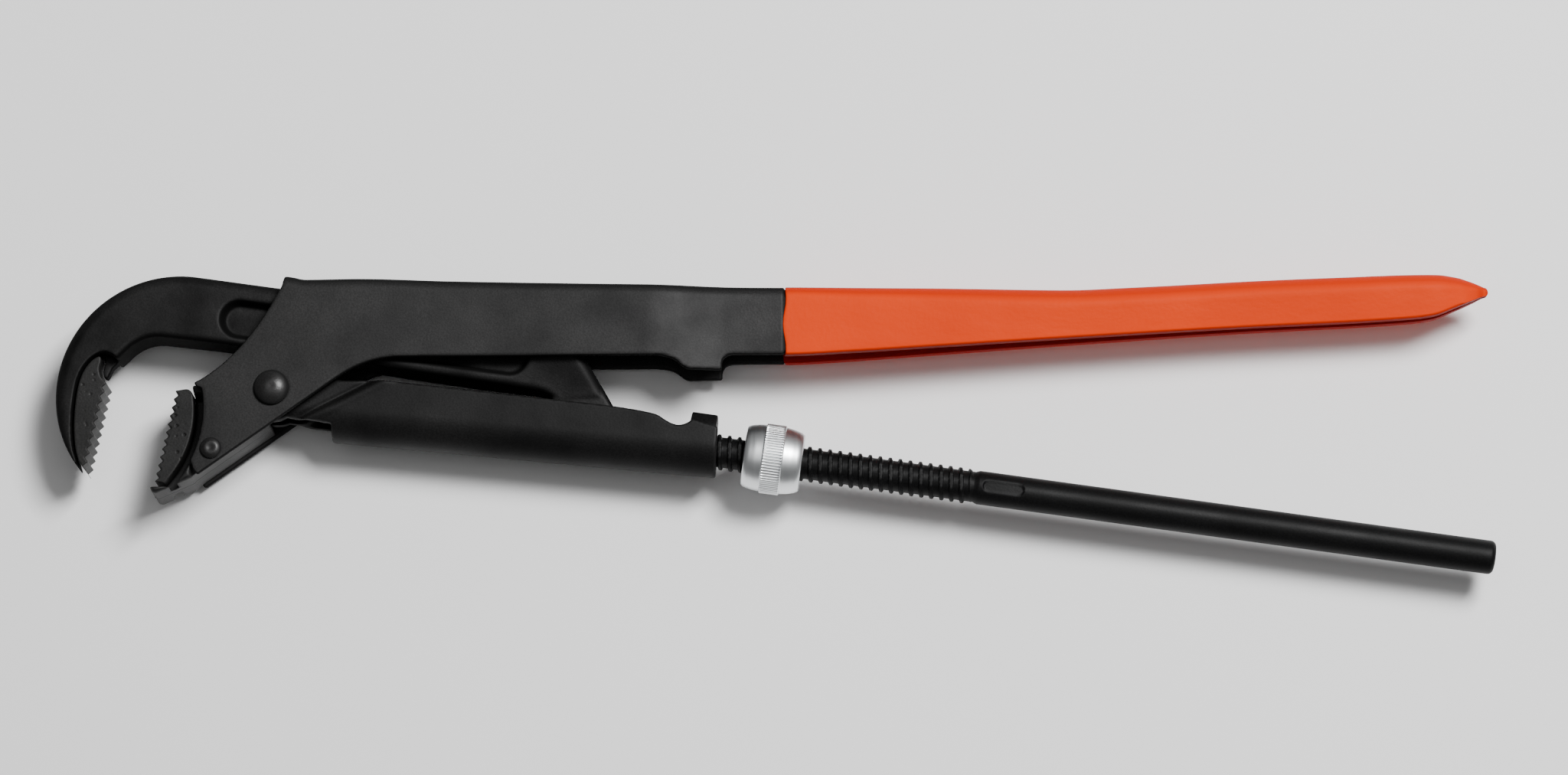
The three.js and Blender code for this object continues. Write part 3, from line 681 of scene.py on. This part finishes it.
def grip_sleeve():
    """Outer skin from the tip's small ball to the mouth, then back along the cavity that holds the steel."""
    both_coats = 2 * (COAT + CLEARANCE)
    wall = SHEET + both_coats
    ball_at, ball_r = 359.4, 1.2
    rings = []
    for angle in np.radians([85, 68, 50, 30, 12]):
        shift, scale = ball_r * math.sin(angle), math.cos(angle)
        rings.append(coat_ring(ball_at, -COAT_PROUD, wall, WEB + both_coats + 6, shift, scale))
    stations = np.concatenate((spaced(ball_at, 340, 0.7), spaced(338, GRIP_START + 2, 2.2), [GRIP_START + 1]))
    for x in stations:
        rings.append(coat_ring(x, -COAT_PROUD, wall, float(HANDLE_WEB(x)) + both_coats + 0.2))
    for x, inset in ((0.35, -COAT_PROUD), (0.12, -0.06), (0.0, 0.1)):
        rings.append(coat_ring(GRIP_START + x, inset, wall, WEB + both_coats + 0.2 - inset))
    for x in np.concatenate(([GRIP_START], spaced(GRIP_START + 1, 352, 6))):
        back = float(HANDLE_WEB(x)) + 0.2 + 2 * CLEARANCE
        rings.append(coat_ring(x, COAT - COAT_PROUD, SHEET + 2 * CLEARANCE, back))
    mesh = ring_mesh("grip_sleeve", rings)
    around = len(rings[0])
    outer_points = 2 * (LIP_STEPS + 1 + BEND_STEPS + 1) + 3 * STRETCH_POINTS
    column = np.arange((len(rings) - 1) * around) % around
    # The inside faces take the second material, whose darker red is painted shade.
    inside = np.concatenate((column >= outer_points, [False, False]))
    mesh.polygons.foreach_set("material_index", inside.astype(int))
    mesh.update()
    return mesh


# ---------------------------------------------------------------- the seat block and the jaw inserts
def sawteeth(start, end, count, depth):
    """Points of saw teeth from start to end; each tooth falls back to the left of the run by depth."""
    run = np.subtract(end, start) / count
    inward = np.array([-run[1], run[0]]) / np.hypot(*run) * depth
    points = []
    for i in range(count):
        tip = np.array(start) + run * i
        flat = tip + run * 0.1
        points += [tuple(tip), tuple(flat), tuple(tip + run * 0.42 + inward), tuple(tip + run * 0.5 + inward)]
    return points + [end]


def random_pits(seed, count, x_range, y_range, sizes):
    """Small pits at random places on a broad face: x, y and size."""
    draw = np.random.default_rng(seed).uniform
    return [(draw(*x_range), draw(*y_range), draw(*sizes)) for _ in range(count)]


def pitted(block, x, y, z, half, pits):
    """Takes small round pits out of both broad faces of a block."""
    for pit_x, pit_y, size in pits:
        pit = np.sqrt((x - pit_x) ** 2 + (y - pit_y) ** 2 + (np.abs(z) - half) ** 2) - size
        block = without(block, pit, 0.1)
    return block


def lower_insert():
    """The half-round toothed jaw; its round back rests in the seat block."""
    lowest = math.degrees(math.asin(-21.4 / INSERT_BACK_R))
    highest = math.degrees(math.asin(5.2 / INSERT_BACK_R))
    teeth = sawteeth((-28.7, 0), (-34.4, -27.2), 11, 1.05)
    outline = Outline(*teeth[0]).line(*teeth[1:]).arc(SEAT_CENTRE, INSERT_BACK_R, lowest, highest)
    outline.bend((-24.2, 0.4), (-25.6, 0.5), 5)
    pits = random_pits(4, 12, (-31, -25.5), (-24, -3), (0.15, 0.4))

    def field(x, y, z):
        block = both(outline.distance(x, y), np.abs(z) - INSERT_HALF, 0.3)
        return pitted(block, x, y, z, INSERT_HALF, pits)

    return field_mesh("lower_jaw_insert", field, (-34.8, -28), (-22.9, 1, INSERT_HALF), 0.26)


def seat_block():
    """The block between the cheeks: a wide heel under the insert, its socket and a crown beside the pivot."""
    in_cheeks = CHEEK_HALF - SHEET - CLEARANCE
    body = Outline(-34.9, -30.2).bend((-34.8, -30.9), (-33.6, -30.9)).line((-23.4, -26.3), (-20.6, -24.1))
    body.line((-0.6, -9.9), (-9.5, -4), (-12.2, 1), (-20.8, 2.3), (-24.2, 1.2), (-26, -2), (-40, -18))
    heel = Outline(-34.9, -30.2).bend((-34.8, -30.9), (-33.6, -30.9))
    heel.line((-23.4, -26.3), (-23.6, -20), (-40, -20))

    def field(x, y, z):
        depth = np.abs(z)
        seam = 0.16 * np.clip(1 - depth / 0.5, 0, 1)
        middle = both(body.distance(x, y) - seam, depth - in_cheeks, 0.5)
        foot = both(heel.distance(x, y) - seam, depth - HEEL_HALF, 1.1)
        block = either(middle, foot, 0.6)
        from_centre = np.hypot(x - SEAT_CENTRE[0], y - SEAT_CENTRE[1])
        above_toe = -29 - y
        socket = np.maximum(from_centre - INSERT_BACK_R - CLEARANCE, above_toe)
        beside_insert = both(from_centre - CHEEK_ARC_R - 0.2, above_toe - 0.2)
        sides = both(beside_insert, 3.4 + 5 * eased((y + 2.6) / 2) - depth, 0.8)
        block = without(without(block, socket, 0.3), sides, 0.4)
        block = without(block, np.hypot(x, y) - EAR_NOSE_R - 0.8, 0.4)
        crown = np.maximum(np.hypot(x, y) - SHANK_LOW, -4.5 - y)
        block = without(block, crown, 0.3)
        return without(block, np.hypot(x - SEAT_RIVET_AT[0], y - SEAT_RIVET_AT[1]) - SEAT_RIVET_R - CLEARANCE)

    return field_mesh("jaw_seat_block", field, (-35, -31.1), (0, 2.4, HEEL_HALF), 0.36)


HOOK_INSERT_BACK = [
    (-53.6, -28.6), (-55.4, -24.6), (-57, -17), (-57.5, -9), (-57.2, -4), (-56, -0.3), (-54, 2.6),
    (-52.2, 3.6), (-51.8, 1.8), (-52.2, -0.4), (-51.2, -2.6),
]


def softened(points, rounds=2):
    """Cuts the corners of an open line again and again, which rounds it (Chaikin)."""
    for _ in range(rounds):
        cut = [points[0]]
        for (x0, y0), (x1, y1) in zip(points, points[1:]):
            cut += [(x0 + (x1 - x0) * share, y0 + (y1 - y0) * share) for share in (0.25, 0.75)]
        points = cut + [points[-1]]
    return points


def hook_insert():
    """The toothed pad that is let into the hook."""
    teeth = sawteeth((-51.1, -31.2), (-49.1, -4.4), 10, 1.05)
    outline = Outline(*teeth[0]).line(*teeth[1:]).line(*reversed(softened(HOOK_INSERT_BACK)))
    pits = random_pits(9, 9, (-56, -52.5), (-24, -2), (0.15, 0.32))

    def field(x, y, z):
        block = both(outline.distance(x, y), np.abs(z) - HOOK_INSERT_HALF, 0.3)
        return pitted(block, x, y, z, HOOK_INSERT_HALF, pits)

    return field_mesh("hook_jaw_insert", field, (-57.8, -31.5), (-48.6, 4, HOOK_INSERT_HALF), 0.26)


# ---------------------------------------------------------------- the hook jaw
def hook_jaw():
    """The hook, its recessed shank, the thinner rear arm and the neck and barrel that hold the rod."""
    mouth = Outline(-50.6, -31.9).line((-49.8, -2), (-48.8, 1.2)).bend((-46.4, 4.2), (-43.8, 7.6))
    mouth.bend((-39.6, SHANK_LOW - 0.2), (-34, SHANK_LOW - 0.4), 8)
    mouth.line((-20, SHANK_LOW), (10, SHANK_LOW), (45, 11.5), (77, 11.3))
    mouth.bend((81.6, 11), (83.4, 8.4)).line((84.6, 6), (84.6, -60), (-51.2, -60))
    pocket = Outline(-45, -3.4).line((-45, -31.2), (-51.6, -31), (-53, -30.2), *softened(HOOK_INSERT_BACK))
    scoop = Outline(-52.6, 4.4).bend((-50, 5.4), (-47.6, 3.6)).bend((-46.4, 2.2), (-46.9, -0.6))
    scoop.line((-48, -5.4), (-53, -4), (-54.5, 1.5))
    arm_foot, arm_back, arm_shoulder, arm_top = (84.4, 6.5), (99.6, 10.7), (88.6, 24.4), (80, 31.3)
    face_width = flowing((-33, 0.9), (-24, 1.8), (-12, 3.2), (0, 3.6))

    def field(x, y, z):
        depth = np.abs(z)
        thinner = eased((x - 60) / 26) * eased((27 - y) / 20)
        half = HOOK_HALF - (HOOK_HALF - BOSS_HALF) * thinner
        arc = np.hypot(x - HOOK_ARC[0], y - HOOK_ARC[1]) - HOOK_ARC_R
        behind = half_plane(x, y, arm_back, arm_shoulder)
        tail = np.maximum(behind, half_plane(x, y, arm_shoulder, arm_top))
        bar = both(y - SHANK_TOP, tail, 3)
        bar = both(bar, half_plane(x, y, arm_foot, arm_back), 1)
        tip = half_plane(x, y, (-53.6, -30.5), (-50.6, -31.4))
        outer = np.where(x < HOOK_ARC[0], np.maximum(arc, tip), bar)
        body = both(outer, depth - half, face_width(y))
        body = without(body, mouth.distance(x, y), 1.7)
        neck = both(half_plane(x, y, (104, 5), (92, 20)), x - 104, 2)
        neck = both(neck, half_plane(x, y, (79, 16), (84.6, ROD_LINE)), 1)
        neck = both(neck, np.maximum(y - 18, ROD_LINE - y))
        neck = both(neck, depth - BOSS_HALF, 1.6)
        barrel = both(np.hypot(y - ROD_LINE, z) - BARREL_R, np.abs(x - PIN_AT) - BARREL_HALF, 1.2)
        body = np.minimum(body, np.minimum(neck, barrel))
        stadium = np.hypot(x - np.clip(x, RECESS_FROM, RECESS_TO), y - RECESS_MID) - RECESS_R
        slope = 0.34 * np.clip(depth - RECESS_FLOOR, 0, 5)
        body = without(body, both(stadium - slope + 0.7, RECESS_FLOOR - depth, 0.7), 0.7)
        body = without(body, pocket.distance(x, y) - 0.65, 0.25)
        body = without(body, both(scoop.distance(x, y), 2.6 - depth, 1.2), 0.5)
        bore = both(np.hypot(y - ROD_LINE, z) - TENON_R - CLEARANCE, TENON_FROM - CLEARANCE - x)
        body = without(body, bore)
        return without(body, np.hypot(x - PIN_AT, y - ROD_LINE) - PIN_R - CLEARANCE)

    return field_mesh("hook_jaw", field, (-64.2, -32), (104.6, 31.4, HOOK_HALF), 0.46)


# ---------------------------------------------------------------- the lower channel
def lower_channel():
    """A trough open upwards: pinched ears round the pivot in front, and a collar round the rod behind."""
    side = Outline(17.3, -20).line((130.2, -30), (131.5, -11), (124, -8.5))
    side.bend((122, -10.3), (119.8, -10.3)).bend((117.8, -10.3), (114.2, -7.6))
    side.bend((112.4, -6.3), (97.6, -4.3))
    side.line((31, 3.2), (21, 3.2), (14, 4.2), (6.5, 10)).bend((1.5, 12.6), (-4.6, 10.6))
    side.arc((0, 0), EAR_NOSE_R, 152, 298).line((6, -7.9), (17.2, -9.6))
    loop = Outline(-TROUGH_HALF, 4.6).arc((0, LOOP_LOW + TROUGH_HALF), TROUGH_HALF, 180, 360)
    loop.line((TROUGH_HALF, 4.6)).bend((TROUGH_HALF, 6.4), (8.2, 7.2), 5)
    loop.line((5.6, 9.4)).bend((4.6, LOOP_HIGH), (3.2, LOOP_HIGH), 5)
    loop.line((-3.2, LOOP_HIGH)).bend((-4.6, LOOP_HIGH), (-5.6, 9.4), 5)
    loop.line((-8.2, 7.2)).bend((-TROUGH_HALF, 6.4), (-TROUGH_HALF, 4.6), 5)

    def field(x, y, z):
        beyond = -half_plane(x, y, (29.2, 4.0), (12.1, -4.7))
        half = EAR_HALF + (TROUGH_HALF - EAR_HALF) * eased((beyond - 0.8) / 1.5)
        crease = 0.35 * np.exp(-(((beyond - 3.2) / 1.2) ** 2)) - 0.5 * np.exp(-(((beyond - 0.6) / 0.6) ** 2))
        underside = -13.9 - (x - 15) * (24.8 - 13.9) / (131 - 15)
        centre = underside + TROUGH_HALF
        around = np.where(y < centre, np.hypot(z, y - centre), np.abs(z)) - half - crease
        wall = np.abs(around + SHEET / 2) - SHEET / 2
        pressed = both(wall, side.distance(x, y), 0.4)
        along = x * math.cos(JAW_SLOPE) - y * math.sin(JAW_SLOPE)
        across = x * math.sin(JAW_SLOPE) + y * math.cos(JAW_SLOPE) - ROD_LINE
        collar = np.abs(along - (LOOP_FROM + LOOP_TO) / 2) - (LOOP_TO - LOOP_FROM) / 2
        ring = both(loop.distance(z + 0 * x, across + 0 * z), collar, 0.4)
        ring = without(ring, np.hypot(across, z) - CREST_R - 0.4, 0.4)
        whole = np.minimum(pressed, ring)
        return without(whole, np.hypot(x, y) - PIVOT_R - CLEARANCE)

    return field_mesh("lower_channel", field, (-8.6, -25.2), (131.6, 11.8, TROUGH_HALF), 0.5)


# ---------------------------------------------------------------- rivets, bush, pin, rod and nut
def rivet(name, shank_r, at, dome_r, dome_height, dimple_r, dimple_depth):
    """A rivet across the cheeks, with a domed head outside each cheek and a small dimple in each head."""
    under = CHEEK_HALF + 0.03
    rim = 0.45
    head = []
    for angle in np.radians(np.linspace(0.5, 90, 22)):
        radius = dome_r * math.sin(angle)
        height = under + rim + (dome_height - rim) * math.cos(angle)
        head.append((height - dimple_depth * (1 - eased(radius / dimple_r)), radius))
    head += [(under + 0.2, dome_r - 0.1), (under, dome_r - 0.5)]
    far_head = [(-height, radius) for height, radius in head]
    profile = far_head + [(-under, shank_r), (under, shank_r)] + head[::-1]
    return turned_mesh(name, profile, 72, upright_at=at)


def pivot_bush():
    """The spacer between the two ears, round the pivot rivet."""
    bore = PIVOT_R + CLEARANCE
    corners = [(BUSH_HALF, BUSH_R), (BUSH_HALF, bore), (-BUSH_HALF, bore), (-BUSH_HALF, BUSH_R)]
    profile = rounded_profile([(0, BUSH_R), *corners, (0, BUSH_R)], 0.4)
    return turned_mesh("pivot_bush", profile[:-1], 64, closed=True, upright_at=(0, 0))


def rod_pin():
    """The cross pin through the hook's barrel and the rod's tenon."""
    reach = BOSS_HALF - 0.1
    profile = rounded_profile([(-reach, 0.05), (-reach, PIN_R), (reach, PIN_R), (reach, 0.05)], 0.3)
    return turned_mesh("rod_pin", profile, 24, upright_at=(PIN_AT, ROD_LINE))


def handle_rod():
    """Tenon, rolled thread with a flat along each side, and a plain bar with a stamped oval."""
    sides = 72
    angles = np.linspace(0, 2 * math.pi, sides, endpoint=False)
    bar_bevel = 1.6
    stamp = {"middle": 217.6, "reach": 4.3, "radius": 1.75, "floor": 4.5}

    def thread_radius(x):
        turn = (x - THREAD_FROM) / PITCH + angles / (2 * math.pi)
        wave = np.abs(turn % 1 - 0.5) * 4 - 1
        crest = ROOT_R + (CREST_R - ROOT_R) * eased((wave - 0.05) / 0.45)
        return np.minimum(crest, FLAT_HALF / np.maximum(np.abs(np.cos(angles)), 0.2))

    def bar_radius(x):
        from_end = min(1, (ROD_END - x) / bar_bevel)
        radius = ROD_R - bar_bevel * (1 - math.sqrt(max(0, 1 - (1 - from_end) ** 2)))
        radii = np.full(sides, max(radius, 0.05))
        across = ROD_R * np.sin(angles)
        inside = np.hypot(max(abs(x - stamp["middle"]) - stamp["reach"], 0), across) - stamp["radius"]
        pressed = np.minimum(radii, stamp["floor"] / np.maximum(np.cos(angles), 0.2))
        return radii - (radii - pressed) * eased(0.5 - inside / 0.3)

    tenon = [(TENON_FROM, 0.05), (TENON_FROM, 2.5), (TENON_FROM + 0.5, TENON_R), (THREAD_FROM - 1.2, TENON_R)]
    rows = [(x, np.full(sides, radius)) for x, radius in tenon]
    for x in spaced(THREAD_FROM, THREAD_TO, 0.2):
        fade = eased((x - THREAD_FROM) / 1.5) * eased((THREAD_TO - x) / 2.4)
        rows.append((x, ROOT_R * (1 - fade) + thread_radius(x) * fade))
    rows.append((THREAD_TO + 0.9, np.full(sides, ROD_R - 0.12)))
    for x in np.concatenate((spaced(THREAD_TO + 1.3, 225, 0.25), spaced(230, ROD_END - 3, 6))):
        rows.append((x, bar_radius(x)))
    for angle in np.radians([0, 20, 40, 60, 75, 88]):
        x = ROD_END - bar_bevel + bar_bevel * math.sin(angle)
        rows.append((x, np.full(sides, ROD_R - bar_bevel + bar_bevel * math.cos(angle))))
    rows.append((ROD_END, np.full(sides, 0.05)))
    rings = []
    for x, radii in rows:
        ring = (np.full(sides, x), ROD_LINE + radii * np.sin(angles), radii * np.cos(angles))
        rings.append(np.stack(ring, 1))
    return ring_mesh("handle_rod", rings)


def adjusting_nut():
    """Two turned cones with a straight-knurled band between them."""
    band_from, band_to = NUT_FROM + 5.7, NUT_FROM + 11.4
    bore = CREST_R + CLEARANCE
    profile = rounded_profile(
        [
            (NUT_FROM + 2, bore), (NUT_FROM, bore + 0.9), (NUT_FROM, 8.7), (NUT_FROM + 1.2, 9.3),
            (NUT_FROM + 3.2, 9.75), (band_from - 0.12, 9.95), (band_from, 10.35),
            (band_to, 10.35), (band_to + 0.12, 9.95), (NUT_TO - 3.2, 9.55),
            (NUT_TO - 1.1, 8.95), (NUT_TO, 8.3), (NUT_TO, bore + 0.9), (NUT_TO - 2, bore),
            (NUT_FROM + 3, bore),
        ],
        0.55,
    )
    dense = []
    for (x0, r0), (x1, r1) in zip(profile, profile[1:]):
        parts = max(1, int(math.hypot(x1 - x0, r1 - r0) / 0.6))
        dense += [(x0 + (x1 - x0) * i / parts, r0 + (r1 - r0) * i / parts) for i in range(parts)]

    def relief(x, radius, angles):
        on_band = eased((x - band_from) / 0.25) * eased((band_to - x) / 0.25) * (radius > 9.8)
        wave = np.abs(np.cos(angles * KNURLS / 2))
        return on_band * 0.32 * (1 - wave) ** 2.5

    return turned_mesh("adjusting_nut", dense, KNURLS * 8, closed=True, relief=relief)


# ---------------------------------------------------------------- the pieces in place
put("upper_handle", "frame", "pressed_steel", PRESSED, ABOUT_PIVOT, *upper_handle())
# The grip's second material darkens the coat's inside as painted shade.
put("grip_sleeve", "frame", "grip_coat", COAT_ORANGE, ABOUT_PIVOT, grip_sleeve(), inner=COAT_INSIDE_SHADE)
put("jaw_seat_block", "frame", "forged_steel", MACHINED, ABOUT_PIVOT, *seat_block())
put("lower_jaw_insert", "frame", "hardened_steel", HARDENED, ABOUT_PIVOT, *lower_insert())
pivot_rivet = rivet(
    "pivot_rivet", PIVOT_R, (0, 0), dome_r=5.2, dome_height=2.9, dimple_r=1.8, dimple_depth=0.12
)
put("pivot_rivet", "frame", "rivet_steel", RIVET, ABOUT_PIVOT, pivot_rivet)
seat_rivet = rivet(
    "seat_rivet", SEAT_RIVET_R, SEAT_RIVET_AT, dome_r=3.1, dome_height=1.7, dimple_r=2.0, dimple_depth=0.35
)
put("seat_rivet", "frame", "rivet_steel", RIVET, ABOUT_PIVOT, seat_rivet)
put("lower_channel", "lower_arm", "pressed_steel", CHANNEL, ABOUT_PIVOT, *lower_channel())
put("pivot_bush", "lower_arm", "rivet_steel", RIVET, ABOUT_PIVOT, pivot_bush())
put("hook_jaw", "hook", "forged_steel", FORGED, ALONG_ROD, *hook_jaw())
put("hook_jaw_insert", "hook", "hardened_steel", HARDENED, ALONG_ROD, *hook_insert())
put("handle_rod", "hook", "rod_steel", ROD, ALONG_ROD, handle_rod(), smooth_angle=50)
put("rod_pin", "hook", "rivet_steel", RIVET, ALONG_ROD, rod_pin())
put("adjusting_nut", "nut", "plated_steel", ZINC, ALONG_ROD, adjusting_nut(), smooth_angle=38)


# ---------------------------------------------------------------- floor, lights and camera
def matt_floor():
    """A pale matt floor that goes on well past the view."""
    bpy.ops.mesh.primitive_plane_add(size=12, location=(0, 0, cad_box[0].z))
    floor = bpy.context.object
    floor.name = "floor"
    material, nodes, links, shader = new_material("pale_floor")
    shade = ramp(nodes, links, noise(nodes, links, 3, 2), [(0.3, grey(0.86)), (0.7, grey(0.88))])
    links.new(shade, shader.inputs["Base Color"])
    shader.inputs["Roughness"].default_value = 0.9
    shader.inputs["Specular IOR Level"].default_value = 0.1
    floor.data.materials.append(material)


def softbox(name, place, aim, size, power, depth=None):
    """A rectangular area light at a place, turned towards a point; metres and watts."""
    light = bpy.data.lights.new(name, "AREA")
    light.shape = "RECTANGLE"
    light.size = size
    light.size_y = depth or size
    light.energy = power
    lamp = bpy.data.objects.new(name, light)
    lamp.location = place
    lamp.rotation_euler = (Vector(aim) - Vector(place)).to_track_quat("-Z", "Y").to_euler()
    bpy.context.scene.collection.objects.link(lamp)


def camera():
    """Looks down on the wrench's side, leaning a little from the rod's side, at its middle."""
    lean = math.radians(11)
    away = 1.6
    aim = PIVOT + Vector((150.94, 2.53, 0)) * MM
    eye = aim + away * Vector((0, -math.sin(lean), math.cos(lean)))
    data = bpy.data.cameras.new("camera")
    data.sensor_width = 36
    data.lens = 123.75
    data.clip_start = 0.05
    data.clip_end = 30
    obj = bpy.data.objects.new("camera", data)
    obj.location = eye
    obj.rotation_euler = (aim - eye).to_track_quat("-Z", "Y").to_euler()
    bpy.context.scene.collection.objects.link(obj)
    bpy.context.scene.camera = obj


matt_floor()
softbox("key", (0.55, 0.5, 1.45), (0, 0, 0), 0.5, 45)
softbox("overhead", (0, 0.1, 1.75), (0, 0, 0), 1.8, 6, depth=1.3)
world = bpy.data.worlds.new("studio")
world.use_nodes = True
world.node_tree.nodes["Background"].inputs["Color"].default_value = (1, 1, 1, 1)
world.node_tree.nodes["Background"].inputs["Strength"].default_value = 0.12
bpy.context.scene.world = world
camera()
